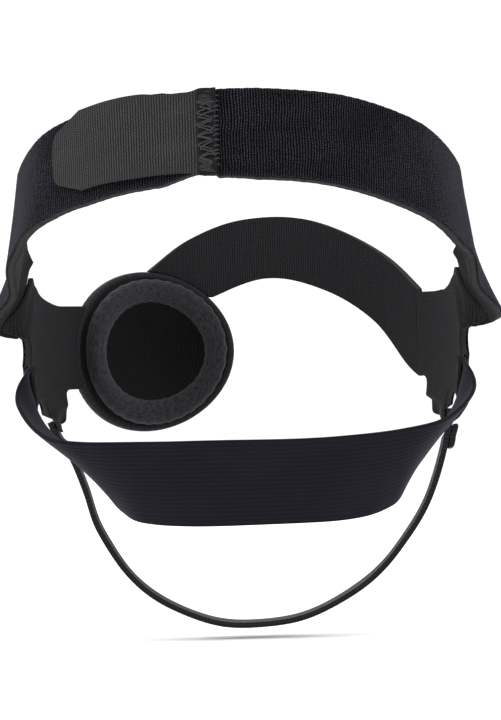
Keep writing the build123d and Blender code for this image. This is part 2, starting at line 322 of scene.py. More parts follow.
def tube(rows, columns, travelled, girth, first=0, closed=False):
    """Faces of a tube of closed rings of points, and a uv pair for each of their corners."""
    faces, uvs = [], []
    for i in range(rows if closed else rows - 1):
        a, b = first + i * columns, first + (i + 1) % rows * columns
        for j in range(columns):
            k = (j + 1) % columns
            faces.append((a + j, a + k, b + k, b + j))
            u0, u1, v0, v1 = travelled[i], travelled[i + 1], girth[j], girth[j + 1]
            uvs += [(u0, v0), (u0, v1), (u1, v1), (u1, v0)]
    if not closed:
        last = first + (rows - 1) * columns
        faces += [tuple(range(first, first + columns))[::-1], tuple(range(last, last + columns))]
    return faces, uvs


def strip(name, strap, ends, depths, look, slot, pitch, across, corner, sway, half_width=None,
          relief=None, shape=None):
    """Closed strip along a strap. sway moves its whole section, relief lifts its outer side,
    and shape turns distance and depth into a new depth."""
    inner, outer = depths
    ring = rounded_section(inner, outer, across, corner)
    distance = spread(*ends, pitch)
    rows, columns = len(distance), len(ring)
    half = strap.width(distance) / 2 if half_width is None else half_width(distance)
    s = np.repeat(distance[:, None], columns, 1)
    height = ring[None, :, 0] * (half[:, None] - corner) + ring[None, :, 1]
    depth = np.repeat(ring[None, :, 2], rows, 0)
    if relief is not None:
        outside = (ring[:, 2] > (inner + outer) / 2)[None, :]
        depth = depth + np.where(outside, relief(s, height, half[:, None]), 0)
    if shape is not None:
        depth = shape(s, depth)
    lift, rise = sway(s, height, half[:, None])
    points = strap.place(s, height + rise, depth + lift).reshape(-1, 3)
    steps = np.hypot(np.diff(ring[:, 0]) * half.mean(), np.diff(ring[:, 2]))
    girth = np.concatenate([[0], np.cumsum(steps)])
    girth = np.append(girth, girth[-1] + corner) - half.mean()
    faces, uvs = tube(rows, columns, distance, girth)
    uvs += [(distance[0] + CAP_STEP * j, 0) for j in range(columns)] * 2
    return piece(name, points, faces, uvs, look, cleaned=False)


def inset(outline, amount):
    """The closed outline moved inwards by an amount, for an outline that runs anticlockwise."""
    ahead = unit(np.roll(outline, -1, 0) - np.roll(outline, 1, 0))
    return outline + amount * np.stack([-ahead[:, 1], ahead[:, 0]], -1)


def gap_to(outline, points):
    """Distance from each point to the nearest part of a closed outline."""
    a, b = outline, np.roll(outline, -1, 0)
    side = b - a
    share = ((points[:, None] - a) * side).sum(-1) / (side**2).sum(-1)
    foot = a + np.clip(share, 0, 1)[..., None] * side
    return np.linalg.norm(points[:, None] - foot, axis=-1).min(1)


def evenly(outline, pitch):
    """The closed outline resampled at an even pitch, anticlockwise."""
    closed = np.vstack([outline, outline[:1]])
    x, y = closed[:, 0], closed[:, 1]
    if (x[:-1] * y[1:] - x[1:] * y[:-1]).sum() < 0:
        closed = closed[::-1]
    travelled = run(closed)
    stops = np.linspace(0, travelled[-1], int(travelled[-1] / pitch) + 1)[:-1]
    return rows_at(stops, travelled, closed)


RIM_PITCH = 0.8
RIM_BENDS = (0, 35, 65, 90)


def inside_of(rim, grid):
    """Which grid points lie inside a closed outline."""
    inside = np.zeros(len(grid), bool)
    for a, b in zip(rim, np.roll(rim, -1, 0)):
        crosses = (a[1] > grid[:, 1]) != (b[1] > grid[:, 1])
        slope = (b[0] - a[0]) * (grid[:, 1] - a[1]) / (b[1] - a[1] + 1e-12) + a[0]
        inside ^= crosses & (grid[:, 0] < slope)
    return inside


def panel(name, outline, depths, look, spacing, corner, shape, relief=None):
    """Closed flat piece with rounded edges, cut to an outline on the face cylinder."""
    inner, outer = depths
    rim = evenly(outline, RIM_PITCH)
    rings = [inset(rim, corner * (1 - cos(radians(b)))) for b in RIM_BENDS]
    low, high = rim.min(0), rim.max(0)
    columns = np.arange(low[0], high[0], spacing)
    rows = np.arange(low[1], high[1], spacing * sqrt(3) / 2)
    grid = np.array([(x + (j % 2) * spacing / 2, y) for j, y in enumerate(rows) for x in columns])
    grid = grid[inside_of(rim, grid)]
    grid = grid[gap_to(rim, grid) > corner + spacing * 0.45]
    count = len(rim)
    edges = [(i, (i + 1) % count) for i in range(count)]
    solved = delaunay_2d_cdt([Vector(p) for p in np.vstack(rings + [grid])], edges, [], 1, 1e-4)
    flat = np.array([tuple(p) for p in solved[0]])
    triangles = [tuple(t) for t in solved[2]]
    u, v = flat.T
    gap = gap_to(rim, flat)
    short = np.clip(corner - gap, 0, corner)
    round_off = corner - np.sqrt(np.clip(corner**2 - short**2, 0, None))
    round_off = np.minimum(round_off, (outer - inner) / 2)
    top, bottom = outer - round_off, inner + round_off
    if relief is not None:
        top = top + relief(u, v, gap)
    edge = gap < 1e-3
    top[edge] = bottom[edge] = (outer + inner) / 2
    points = np.vstack([face.place(u, v, shape(u, v, side)) for side in (top, bottom)])
    twin = np.arange(len(flat)) + np.where(edge, 0, len(flat))
    faces = triangles + [tuple(int(twin[i]) for i in t[::-1]) for t in triangles]
    uvs = [tuple(flat[i]) for t in triangles for i in t]
    uvs += [tuple(flat[i]) for t in triangles for i in t[::-1]]
    return piece(name, points, faces, uvs, look)


def clean_loose(made):
    """Removes the points that no face uses, and turns all faces outwards."""
    shape = bmesh.new()
    shape.from_mesh(made.data)
    bmesh.ops.delete(shape, geom=[v for v in shape.verts if not v.link_faces], context="VERTS")
    bmesh.ops.recalc_face_normals(shape, faces=shape.faces)
    shape.to_mesh(made.data)
    shape.free()


THREAD_GUIDE = (0.31, 0.27, 0.91)


def threads(name, paths, radius, look, sides=8):
    """One object of round threads, each a smooth tube along a list of points in mm."""
    points, faces, uvs = [], [], []
    turns = np.arange(sides) * TURN / sides
    girth = np.arange(sides + 1) / sides
    for path in paths:
        along = unit(np.gradient(path, axis=0))
        side = unit(np.cross(along, THREAD_GUIDE))
        more_faces, more_uvs = tube(len(path), sides, run(path), girth, len(points))
        faces += more_faces
        uvs += more_uvs + [(0, 0)] * 2 * sides
        for p, a, b in zip(path, side, np.cross(along, side)):
            points += [p + radius * (cos(t) * a + sin(t) * b) for t in turns]
    return piece(name, points, faces, uvs, look)


def stitch(start, end, out, bulge=0.32, sunk=0.25, count=9):
    """One straight stitch between two holes: it dives into both and stands proud between them."""
    share = np.linspace(0, 1, count)[:, None]
    rise = np.sin(share * pi) ** 0.45
    return start + (end - start) * share + out * (-sunk + (bulge + sunk) * rise)


def outward(surface, u, v):
    """Unit vector out of a strap or the face cylinder at a place on it."""
    return surface.place(u, v, 1.0) - surface.place(u, v, 0.0)


def zigzag(surface, distance, half_width, depth, reach, pitch, wander=0.12, **how):
    """Stitches that zigzag across a strap at a distance along it, fed a little unevenly."""
    count = max(2, int(2 * half_width / pitch))
    holes = []
    for i in range(count + 1):
        s = distance + (reach if i % 2 else -reach) + rng.uniform(-wander, wander)
        h = -half_width + 2 * half_width * i / count + rng.uniform(-wander, wander)
        holes.append((s, h))
    paths = []
    for a, b in zip(holes, holes[1:]):
        out = outward(surface, (a[0] + b[0]) / 2, (a[1] + b[1]) / 2)
        paths.append(stitch(surface.place(*a, depth), surface.place(*b, depth), out, **how))
    return paths


# ---------------------------------------------------------------- materials

LOOP_PITCH = 0.88
WARP_PITCH = 0.86
VIOLET = (0.78, 0.76, 1.0, 1.0)
GREY = (0.9, 0.9, 0.95, 1.0)


class Value:
    """What comes out of a node; arithmetic on it adds math nodes."""

    def __init__(self, cloth, socket):
        self.cloth, self.socket = cloth, socket

    def __add__(self, other):
        return self.cloth.math("ADD", self, other)

    def __mul__(self, other):
        return self.cloth.math("MULTIPLY", self, other)

    def __rsub__(self, other):
        return self.cloth.math("SUBTRACT", other, self)

    def scaled(self, factor, added):
        return self.cloth.math("MULTIPLY_ADD", self, factor, added)

    def wave(self, pitch):
        """A smooth wave from 0 to 1 that repeats every pitch mm."""
        turned = self.scaled(TURN / pitch, 0.0)
        return self.cloth.math("COSINE", turned).scaled(0.5, 0.5)

    def step(self, low, high):
        """0 below low, 1 above high, and smooth between."""
        made = self.cloth.add("ShaderNodeMapRange", interpolation_type="SMOOTHSTEP")
        for socket, value in zip(made.inputs, (self, low, high)):
            self.cloth.feed(socket, value)
        return Value(self.cloth, made.outputs[0])


class Fabric:
    """A procedural cloth, built on the mesh's own map in mm: u runs along a piece, v across."""

    def __init__(self, name, sheen, specular, sheen_roughness=0.5, sheen_tint=GREY):
        self.material = bpy.data.materials.new(name)
        self.material.use_nodes = True
        self.tree = self.material.node_tree
        self.shader = self.tree.nodes["Principled BSDF"]
        self.shader.inputs["Sheen Weight"].default_value = sheen
        self.shader.inputs["Sheen Roughness"].default_value = sheen_roughness
        self.shader.inputs["Sheen Tint"].default_value = sheen_tint
        self.shader.inputs["Specular IOR Level"].default_value = specular
        self.place = self.add("ShaderNodeUVMap", uv_map=CLOTH).outputs[0]
        split = self.add("ShaderNodeSeparateXYZ")
        self.tree.links.new(self.place, split.inputs[0])
        self.u, self.v = (Value(self, socket) for socket in split.outputs[:2])

    def add(self, kind, **settings):
        made = self.tree.nodes.new(kind)
        for key, value in settings.items():
            setattr(made, key, value)
        return made

    def feed(self, socket, value):
        if isinstance(value, Value):
            self.tree.links.new(value.socket, socket)
        else:
            socket.default_value = value

    def math(self, operation, *values):
        made = self.add("ShaderNodeMath", operation=operation)
        for socket, value in zip(made.inputs, values):
            self.feed(socket, value)
        return Value(self, made.outputs[0])

    def stretched(self, along, across, into):
        """Feeds the map into a texture, with so many units per mm along and across."""
        stretch = self.add("ShaderNodeVectorMath", operation="MULTIPLY")
        self.tree.links.new(self.place, stretch.inputs[0])
        stretch.inputs[1].default_value = (along, across, 1.0)
        into.inputs["Scale"].default_value = 1.0
        self.tree.links.new(stretch.outputs[0], into.inputs["Vector"])

    def noise(self, along, across, detail=2.0):
        """Soft noise from 0 to 1, with so many lumps per mm along and across."""
        made = self.add("ShaderNodeTexNoise", noise_dimensions="2D")
        made.inputs["Detail"].default_value = detail
        self.stretched(along, across, made)
        return Value(self, made.outputs[0])

    def wander(self, along, across, reach):
        """Noise from minus half the reach to plus half of it."""
        return (self.noise(along, across) + -0.5) * reach

    def tint(self, share, first, second):
        """A colour between two, by share; either may be a colour already mixed."""
        made = self.add("ShaderNodeMix", data_type="RGBA")
        self.feed(made.inputs[0], share)
        for socket, colour in ((made.inputs[6], first), (made.inputs[7], second)):
            self.feed(socket, (*colour, 1.0) if isinstance(colour, tuple) else colour)
        return Value(self, made.outputs[2])

    def shade(self, relief, fibre, gain, dark, light):
        """Dark in the hollows, and light where both the relief and its fibres stand up."""
        return self.tint(relief * fibre.scaled(*gain), dark, light)

    def finish(self, colour, relief, fibre, fuzz, depth, rough):
        """Connects the colour, the relief with its fuzz of fibres, and the roughness."""
        self.feed(self.shader.inputs["Base Color"], colour)
        bump = self.add("ShaderNodeBump")
        bump.inputs["Distance"].default_value = depth * MM
        bump.inputs["Strength"].default_value = 1.0
        self.feed(bump.inputs["Height"], relief + fibre * fuzz)
        self.tree.links.new(bump.outputs[0], self.shader.inputs["Normal"])
        self.feed(self.shader.inputs["Roughness"], fibre.scaled(*rough))
        return self.material


def loop_fabric(name, half_width=None):
    """Brushed loop face: upright ribs across the strap, broken into short bright dashes."""
    cloth = Fabric(name, 0.1, 0.03, sheen_roughness=0.2, sheen_tint=VIOLET)
    column = cloth.u + (cloth.wander(0.05, 0.07, 2.0) + cloth.wander(0.9, 0.4, 0.3))
    index = cloth.math("FLOOR", column.scaled(1 / LOOP_PITCH, 0.5))
    row = index.scaled(0.37, cloth.v) + cloth.noise(0.6, 0.5) * 1.6
    fibre = cloth.noise(3.1, 1.7, 3.0)
    loops = column.wave(LOOP_PITCH) * row.wave(0.68).scaled(0.62, 0.38)
    patch = cloth.noise(0.05, 0.09).step(0.3, 0.7)
    bright = (loops * fibre.scaled(1.5, 0.05)).step(0.1, 0.8) * patch.scaled(0.35, 0.72)
    # The loop face is made lighter along the strap's two long edges.
    if half_width is not None:
        lighter_edge = cloth.math("ABSOLUTE", cloth.v).step(half_width - 1.8, half_width + 0.4)
        bright = cloth.math("MINIMUM", bright + lighter_edge * 0.12, 1.0)
    colour = cloth.tint(bright, (0.0005, 0.0005, 0.0009), (0.034, 0.0322, 0.041))
    return cloth.finish(colour, loops * 0.75, fibre, 0.35, 0.26, (0.12, 0.82))


def cut_foam(name):
    """Skived foam edge: smooth, with fine open cells and the faint drag marks of the knife."""
    foam = Fabric(name, 0.03, 0.08)
    drag = foam.noise(0.15, 3.0)
    pits = foam.noise(5.0, 5.0, 4.0).step(0.36, 0.52)
    colour = foam.tint(pits, (0.008, 0.008, 0.008), (0.025, 0.025, 0.025))
    colour = foam.tint(drag.step(0.4, 0.8) * 0.5, colour, (0.036, 0.036, 0.036))
    return foam.finish(colour, pits * 0.6, drag, 0.4, 0.08, (0.15, 0.8))


def knit_lining(name):
    """Fine jersey on the skin side: columns of small V stitches."""
    knit = Fabric(name, 0.04, 0.06, sheen_roughness=0.4)
    slant = knit.math("PINGPONG", knit.u, 0.45).scaled(1.1, knit.v)
    gutter = knit.math("PINGPONG", knit.u + 0.45, 0.45).step(0.02, 0.2)
    fibre = knit.noise(5.0, 5.0, 3.0)
    height = gutter * (slant + knit.noise(0.8, 0.8) * 0.3).wave(0.7).scaled(0.7, 0.3)
    light = (0.032, 0.032, 0.035)
    colour = knit.shade(height, fibre, (0.8, 0.3), (0.003, 0.003, 0.0035), light)
    return knit.finish(colour, height, fibre, 0.25, 0.16, (0.2, 0.7))


def hook_tape(name):
    """Dark grey woven tape: warp columns dotted with the pale backs of the hooks, and painted shade
    darkening its sewn end.
    """
    tape = Fabric(name, 0.02, 0.1)
    u = tape.u + tape.wander(0.5, 0.2, 0.35)
    warp = u.wave(WARP_PITCH)
    index = tape.math("FLOOR", u.scaled(1 / WARP_PITCH, 0.5))
    weft = (index.scaled(0.42, tape.v) + tape.noise(0.6, 0.9) * 0.5).wave(0.84)
    selvage = tape.math("ABSOLUTE", tape.v).step(TAB_WIDTH / 2 - 3.0, TAB_WIDTH / 2 - 1.6)
    woven = tape.math("MAXIMUM", weft.scaled(0.72, 0.28), selvage * 0.6)
    dot = tape.math("POWER", warp * woven, 1.25)
    fibre = tape.noise(4.0, 4.0, 3.0)
    patch = tape.noise(0.06, 0.1).step(0.45, 0.8)
    # Painted shade: the sewn end of the tape, sunk between the zigzag stitches, is darkened in its
    # colour.
    sewn = 1.0 - tape.u.step(SEWN_END - 0.2, SEWN_END + 1.2)
    colour = tape.tint(warp * 0.5, (0.001, 0.001, 0.001), (0.02, 0.02, 0.02))
    colour = tape.shade(dot, fibre, (1.5, 0.1), colour, (0.078, 0.078, 0.081))
    colour = tape.tint(patch * 0.2, colour, (0.04, 0.04, 0.041))
    colour = tape.tint(selvage * 0.4, colour, (0.016, 0.016, 0.016))
    # The painted shade goes on here, nearly black over the sewn end.
    colour = tape.tint(sewn * 0.85, colour, (0.0015, 0.0015, 0.002))
    return tape.finish(colour, warp * 0.35 + dot * 0.65, fibre, 0.2, 0.3, (0.2, 0.58))


def moulded_hooks(name):
    """Stiff dark nylon of the hooks, a little glossier than the cloth."""
    nylon = Fabric(name, 0.0, 0.3)
    speckle = nylon.noise(2.0, 2.0, 3.0)
    colour = nylon.tint(speckle, (0.008, 0.008, 0.009), (0.03, 0.03, 0.033))
    return nylon.finish(colour, speckle, speckle, 0.0, 0.03, (0.2, 0.35))


def twisted_thread(name, light):
    """Three-ply sewing thread: a diagonal twist along each stitch."""
    ply = Fabric(name, 0.05, 0.2)
    twist = ply.v.scaled(0.7, ply.u).wave(0.34)
    fuzz = ply.noise(6.0, 9.0, 3.0)
    colour = ply.shade(twist, fuzz, (0.8, 0.4), (0.002, 0.002, 0.003), light)
    return ply.finish(colour, twist, fuzz, 0.3, 0.09, (0.2, 0.5))


def ribbed_elastic(name):
    """Knitted elastic: even ribs along its length over short knit loops across it."""
    band = Fabric(name, 0.07, 0.05, sheen_roughness=0.3, sheen_tint=VIOLET)
    rib = (band.v + band.wander(0.08, 0.3, 0.5)).wave(1.45)
    loop = (band.u + band.noise(0.5, 0.7) * 0.5).wave(0.55)
    fibre = band.noise(3.5, 4.5, 3.0)
    patch = band.noise(0.04, 0.05).step(0.4, 0.75)
    colour = band.tint(rib, (0.0042, 0.004, 0.0062), (0.0072, 0.0068, 0.0104))
    colour = band.tint(loop * fibre.step(0.3, 0.7) * 0.3, colour, (0.024, 0.023, 0.032))
    colour = band.tint(patch * 0.2, colour, (0.013, 0.0125, 0.019))
    return band.finish(colour, rib * 0.6 + loop * rib * 0.25, fibre, 0.15, 0.08, (0.15, 0.75))


def plain_webbing(name):
    """Narrow black webbing in a basket weave."""
    web = Fabric(name, 0.03, 0.1)
    checker = web.add("ShaderNodeTexChecker")
    web.stretched(1 / 1.3, 1 / 1.1, checker)
    crossing = Value(web, checker.outputs["Fac"])
    weave = crossing * web.u.wave(1.3) + (1.0 - crossing) * web.v.wave(1.1)
    fibre = web.noise(5.0, 5.0, 3.0)
    colour = web.shade(weave, fibre, (0.9, 0.3), (0.003, 0.003, 0.004), (0.02, 0.02, 0.024))
    return web.finish(colour, weave, fibre, 0.2, 0.2, (0.2, 0.6))


def cup_tricot(name):
    """Smooth tricot over moulded foam: a fine twill of tiny ribs, pressed flat by the mould."""
    tricot = Fabric(name, 0.09, 0.1, sheen_roughness=0.3, sheen_tint=VIOLET)
    twill = (tricot.u + tricot.v * 0.55).wave(0.62)
    fibre = tricot.noise(4.0, 4.0, 3.0)
    height = twill * tricot.v.wave(0.5).scaled(0.5, 0.5)
    light = (0.027, 0.026, 0.033)
    pressed = tricot.noise(0.05, 0.05).step(0.35, 0.75)
    colour = tricot.shade(height, fibre, (0.8, 0.35), (0.004, 0.004, 0.0055), light)
    colour = tricot.tint(pressed * 0.25, colour, (0.018, 0.018, 0.022))
    return tricot.finish(colour, height, fibre, 0.2, 0.1, (0.2, 0.62))


def folded_binding(name):
    """Grosgrain binding: fine ribs across the tape."""
    tape = Fabric(name, 0.04, 0.12)
    rib = (tape.u + tape.noise(0.3, 0.6) * 0.25).wave(0.75)
    fibre = tape.noise(4.0, 6.0, 3.0)
    colour = tape.shade(rib, fibre, (0.9, 0.3), (0.003, 0.003, 0.004), (0.032, 0.032, 0.037))
    return tape.finish(colour, rib, fibre, 0.25, 0.16, (0.2, 0.55))


def brushed_cushion(name):
    """Brushed skin-side cloth: a short matted nap with no visible weave."""
    nap = Fabric(name, 0.15, 0.04)
    fibre = nap.noise(4.5, 3.0, 4.0)
    tuft = (nap.noise(0.5, 1.6) * 0.5 + fibre * 0.6).step(0.35, 0.8)
    colour = nap.tint(tuft, (0.006, 0.006, 0.0075), (0.034, 0.034, 0.038))
    return nap.finish(colour, tuft * 0.7, fibre, 0.3, 0.22, (0.1, 0.85))


LOOP = loop_fabric("loop_face_cloth", half_width=15.0)
PANEL_LOOP = loop_fabric("front_panel_loop_cloth")
FOAM = cut_foam("laminate_foam_edge")
LINING_CLOTH = knit_lining("skin_side_jersey")
HOOK_TAPE = hook_tape("woven_hook_tape")
HOOK_NYLON = moulded_hooks("hook_nylon")
THREAD_BLACK = twisted_thread("sewing_thread", light=(0.04, 0.04, 0.044))
# A lighter copy of the black sewing thread for the tab's seam: its brighter twist tops are painted
# highlights.
THREAD_HIGHLIT = twisted_thread("tab_sewing_thread", light=(0.07, 0.07, 0.074))
ELASTIC_KNIT = ribbed_elastic("ribbed_knit_elastic")
WEB = plain_webbing("chin_webbing")
TRICOT = cup_tricot("moulded_cup_tricot")
BINDING_TAPE = folded_binding("cup_binding_tape")
NAP = brushed_cushion("brushed_cushion_cloth")

# ---------------------------------------------------------------- bodies


def bend(made, start, end):
    """Bakes the piece's placement into its mesh, after working out the upper strap's middle at two
    distances along it.
    """
    points = [tuple(float(c) * MM for c in upper.place(s, 0.0, 0.0)) for s in (start, end)]
    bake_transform(made)


# Distances along the upper strap in mm, given to bend().
RIGHT_HINGE_START = upper.start - 1.5
RIGHT_HINGE_END = upper.start + 12.0
TAB_HINGE_START = 9.3
TAB_HINGE_END = 14.6

# ---------------------------------------------------------------- upper strap

# Sag of each half's lower edge by the ear: how much, then where it begins and ends.
RIGHT_SAG = (1.5, 25.0, 60.0, 92.0, 115.0)
LEFT_SAG = (0.8, 12.0, 26.0, 48.0, 62.0)
# Where the tab's seam gathers the right strap, and where it draws the loop face in.
GATHER = (-10.0, 2.0)
DRAWN_IN = ((-1.0, 6.0), (-24.0, -14.0))


def settled(s, height, half):
    """How a worn strap strays from a true curve: slow waves and slightly uneven cut edges."""
    lift = 0.16 * np.sin(s / 11.3 + 0.4) + 0.08 * np.sin(s / 5.1 + height / 9.0)
    ragged = 0.12 * np.sin(s / 7.9) + 0.03 * np.sin(s / 1.1 + 1.3)
    ragged = ragged + 0.05 * np.sin(s * 2.1 + 0.8 * np.sin(s / 3.0))
    ragged = ragged + 0.06 * np.sin(s * TURN / LOOP_PITCH)
    low = 0.5 - height / (2 * half)
    sag = hump(-s, *RIGHT_SAG) + hump(s, *LEFT_SAG)
    gathered = 0.3 * ease(s, *GATHER) * (s < RIGHT_END + 0.5)
    return lift, ragged * height / half - sag * low + gathered


LAP = 5.5
LAP_FADE = 9.5
PRESSED_SHARE = 0.5


def lapped(strap, s):
    """1 over the lapped seams at a strap's two ends, fading to 0 along it."""
    inward = np.minimum(s - strap.start, strap.end - s)
    return 1 - ease(inward, LAP, LAP_FADE)


def skived(s, depth):
    """The laminate is pressed to half its thickness where it laps over a yoke's leg."""
    return OUTSIDE - (OUTSIDE - depth) * (1 - PRESSED_SHARE * lapped(upper, s))


def ribbed(s, height, half):
    """Slight unevenness of the pile, and the face drawn in along the tab's seam."""
    uneven = 0.03 * np.sin(s * 1.3 + height * 0.7) * np.sin(height * 1.1 - s * 0.6)
    return uneven - 0.35 * ease(s, *DRAWN_IN[0]) * ease(-s, *DRAWN_IN[1])


def right_end(s):
    """Half-width of the right strap, gathered by the seam and trimmed under the sewn tape."""
    return upper.width(s) / 2 - 0.6 * ease(s, *GATHER) - ease(s, SEWN_START - 0.4, SEWN_START + 0.6)


def left_end(s):
    """Half-width of the left strap, whose end is cut with rounded corners under the tab."""
    return upper.width(s) / 2 - LEFT_CORNER * (1 - ease(s, LEFT_END - 2.0, LEFT_END + 13.0))


LAYER_LOOK = {"lining": LINING_CLOTH, "foam": FOAM, "face": LOOP}
LAYER_SLOT = {"lining": "lining_fabric", "foam": "laminate_foam", "face": "loop_fabric"}
LAYER_CORNER = {"lining": 0.2, "foam": 0.12, "face": 0.34}

for layer, depths in LAYERS.items():
    fine = layer == "face"
    options = {
        "depths": depths,
        "look": LAYER_LOOK[layer],
        "slot": LAYER_SLOT[layer],
        "corner": LAYER_CORNER[layer],
        "pitch": 0.25 if fine else 1.0,
        "across": 32 if fine else 20,
        "relief": ribbed if fine else None,
        "sway": settled,
        "shape": skived,
    }
    right = strip(f"upper_strap_right_{layer}_cloth", upper, (upper.start, RIGHT_END),
                  half_width=right_end, **options)
    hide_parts(f"upper_strap_right_{layer}")
    bend(right, RIGHT_HINGE_START, RIGHT_HINGE_END)
    left = strip(f"upper_strap_left_{layer}_cloth", upper, (LEFT_END, upper.end),
                 half_width=left_end, **options)
    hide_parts(f"upper_strap_left_{layer}")
    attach(left, "patch")

# ---------------------------------------------------------------- hook tab

TAB_HALF = TAB_WIDTH / 2
SEAM_MIDDLE = (SEWN_START + SEWN_END) / 2
# How far the tab sits up the strap: distances along it, and the rise at each.
TAB_RISE = ((4.0, 10.0, 21.0, 27.5, 41.0, TAB_END), (0.3, 0.3, 0.4, 1.15, 1.7, 2.0))
TAPE_START = SEWN_START - 0.3
PRESSED = 0.62
# Where the tape comes to lie flat and wide, past the seam, and where the seam lets it go.
FREE_SPREAD = (20.0, 30.0)
SEWN_SPREAD = (9.0, 14.0)
TIP_ROUND = 2.5
TIP_CORNER = 3.2


def tab_half(s):
    """Half-width of the tab: parallel, then two straight bevels and softened tip corners."""
    bevel = (TAB_WIDTH - TAB_TIP_WIDTH) / 2 * share_of(s, TAB_TAPER, TAB_END)
    tip = share_of(s, TAB_END - TIP_ROUND, TAB_END)
    spread_out = 0.5 * ease(s, *FREE_SPREAD) + 0.85 * (1 - ease(s, *SEWN_SPREAD))
    return TAB_HALF + spread_out - bevel - TIP_CORNER * (1 - np.sqrt(1 - tip**2 * 0.98))


def tab_sway(s, height, half):
    """The tab dips into its seam, lies a little high on the left strap, and lifts at its tip."""
    dip = -PRESSED * (1 - ease(s, 9.0, 16.0)) + 0.25 * ease(s, 54.0, TAB_END)
    lift = dip + 0.1 * np.sin(s / 6.7 + 1.0) + 0.06 * np.sin(height / 3.9 + s / 8.0)
    rise = np.interp(s, *TAB_RISE) + 0.1 * np.sin(s / 4.3) * height / half
    return lift, rise


PUCKER = 3.5


def tab_relief(s, height, half):
    """The puckers that the zigzag pulls into the sewn end, and the thick ends of its seam."""
    sewn = 1 - ease(s, 9.5, 12.0)
    slant = 0.55 * (s - SEAM_MIDDLE) * np.sign(np.sin(height * pi / PUCKER))
    pucker = 0.5 * sewn * np.abs(np.sin((height + slant) * pi / PUCKER + 0.3)) ** 0.7
    bump = sewn * np.exp(-(((height - TAB_HALF + 1.2) / 1.7) ** 2))
    heel = 0.5 * sewn * np.exp(-(((height + TAB_HALF - 1.8) / 2.0) ** 2))
    return pucker + bump + heel


backing = strip("hook_tab_tape", upper, (TAPE_START, TAB_END), (TAPE_IN, TAPE_OUT), HOOK_TAPE,
                "hook_tape", half_width=tab_half, pitch=0.25, across=44, corner=0.28,
                relief=tab_relief, sway=tab_sway)
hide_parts("hook_tab_backing", "hook_tab_sewn_end")
bend(backing, TAB_HINGE_START, TAB_HINGE_END)

TIP_MARGIN = 0.6
film = strip("hook_tab_hook_film", upper, (TAB_START + 1.5, TAB_END - TIP_MARGIN),
             (TAPE_IN - 0.16, TAPE_IN - 0.01), HOOK_NYLON, "hook_hooks",
             half_width=lambda s: tab_half(s + TIP_MARGIN) - 1.5, pitch=0.6, across=24,
             corner=0.06, sway=tab_sway)
bend(film, TAB_HINGE_START, TAB_HINGE_END)

HOOK_PITCH = 1.25
HOOK_STRAY = 0.12
curl = np.radians([0, 50, 100, 150, 200])
hook_depth = TAPE_IN - 0.3 - 0.14 * np.sin(curl)
hook_reach = 0.16 * (1 - np.cos(curl))
hook_paths = []
for s in np.arange(TAB_HINGE_END + 0.6, TAB_END - 2 * TIP_MARGIN, HOOK_PITCH):
    reach = float(tab_half(s + TIP_MARGIN)) - 2.0
    for h in np.arange(-reach, reach, HOOK_PITCH):
        along = s + rng.uniform(-HOOK_STRAY, HOOK_STRAY)
        up = h + rng.uniform(-HOOK_STRAY, HOOK_STRAY)
        lift, rise = tab_sway(along, up, reach)
        root = upper.place(along, up + rise, TAPE_IN - 0.1 + lift)
        bow = upper.place(along + hook_reach, np.full(len(curl), up + rise), hook_depth + lift)
        hook_paths.append(np.vstack([root, bow]))
hooks = threads("hook_tab_nylon_hooks", hook_paths, 0.075, HOOK_NYLON, sides=5)
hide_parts("hook_tab_hooks")
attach(hooks, "hook_tab")

# ---- the seam that holds the tab: two passes of zigzag and a bartack at each end ----

SEAM_DEPTH = TAPE_OUT - PRESSED + 0.12
EDGE_LOOPS = 15
EDGE_MARGIN = 2.2
seam_paths = []
for turn, reach, pitch in ((0, 2.7, 1.75), (1, 2.3, 1.62)):
    seam_paths += zigzag(upper, SEAM_MIDDLE + 0.45 - 0.3 * turn, TAB_HALF - 3.2, SEAM_DEPTH,
                         reach, pitch, wander=0.5, bulge=0.75 + 0.2 * turn)
for h in np.linspace(EDGE_MARGIN - TAB_HALF, TAB_HALF - EDGE_MARGIN, EDGE_LOOPS):
    h = h + rng.uniform(-0.25, 0.25)
    start = upper.place(TAPE_START + 1.0, h, SEAM_DEPTH)
    end = upper.place(TAPE_START - 0.55, h + rng.uniform(0.5, 1.1), OUTSIDE + 0.1)
    seam_paths.append(stitch(start, end, outward(upper, SEWN_START, h), bulge=0.75))
# The tab's seam thread carries painted highlights in its colour.
seam_thread = threads("tab_zigzag_thread", seam_paths, 0.25, THREAD_HIGHLIT)
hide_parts("tab_zigzag_stitch")
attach(seam_thread, "right_strap")

BARTACK_ROWS = 10
BARTACK_PITCH = 0.42
bartack_paths = []
for side in (-1, 1):
    for row in range(BARTACK_ROWS):
        h = side * (TAB_HALF - 0.45 - row * BARTACK_PITCH)
        slant = rng.uniform(-0.5, 0.5) + (0.9 if side < 0 else 0.1)
        a = upper.place(SEAM_MIDDLE - 2.5 + rng.uniform(-0.4, 0.4), h - slant / 2, SEAM_DEPTH)
        b = upper.place(SEAM_MIDDLE + 3.0 + rng.uniform(-0.4, 0.4), h + slant / 2, SEAM_DEPTH)
        bulge = 1.15 if side > 0 and row < BARTACK_ROWS / 2 else 0.8
        bartack_paths.append(stitch(a, b, outward(upper, SEAM_MIDDLE, h), bulge=bulge))
bartack_thread = threads("tab_bartack_thread", bartack_paths, 0.23, THREAD_BLACK)
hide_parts("tab_bartacks")
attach(bartack_thread, "right_strap")

# ---------------------------------------------------------------- nape elastic and chin stay

NAPE_SAG = 2.2
SAG_MIDDLE = 54.0
SAG_REACH = 14.0
RIB_PITCH = 1.45


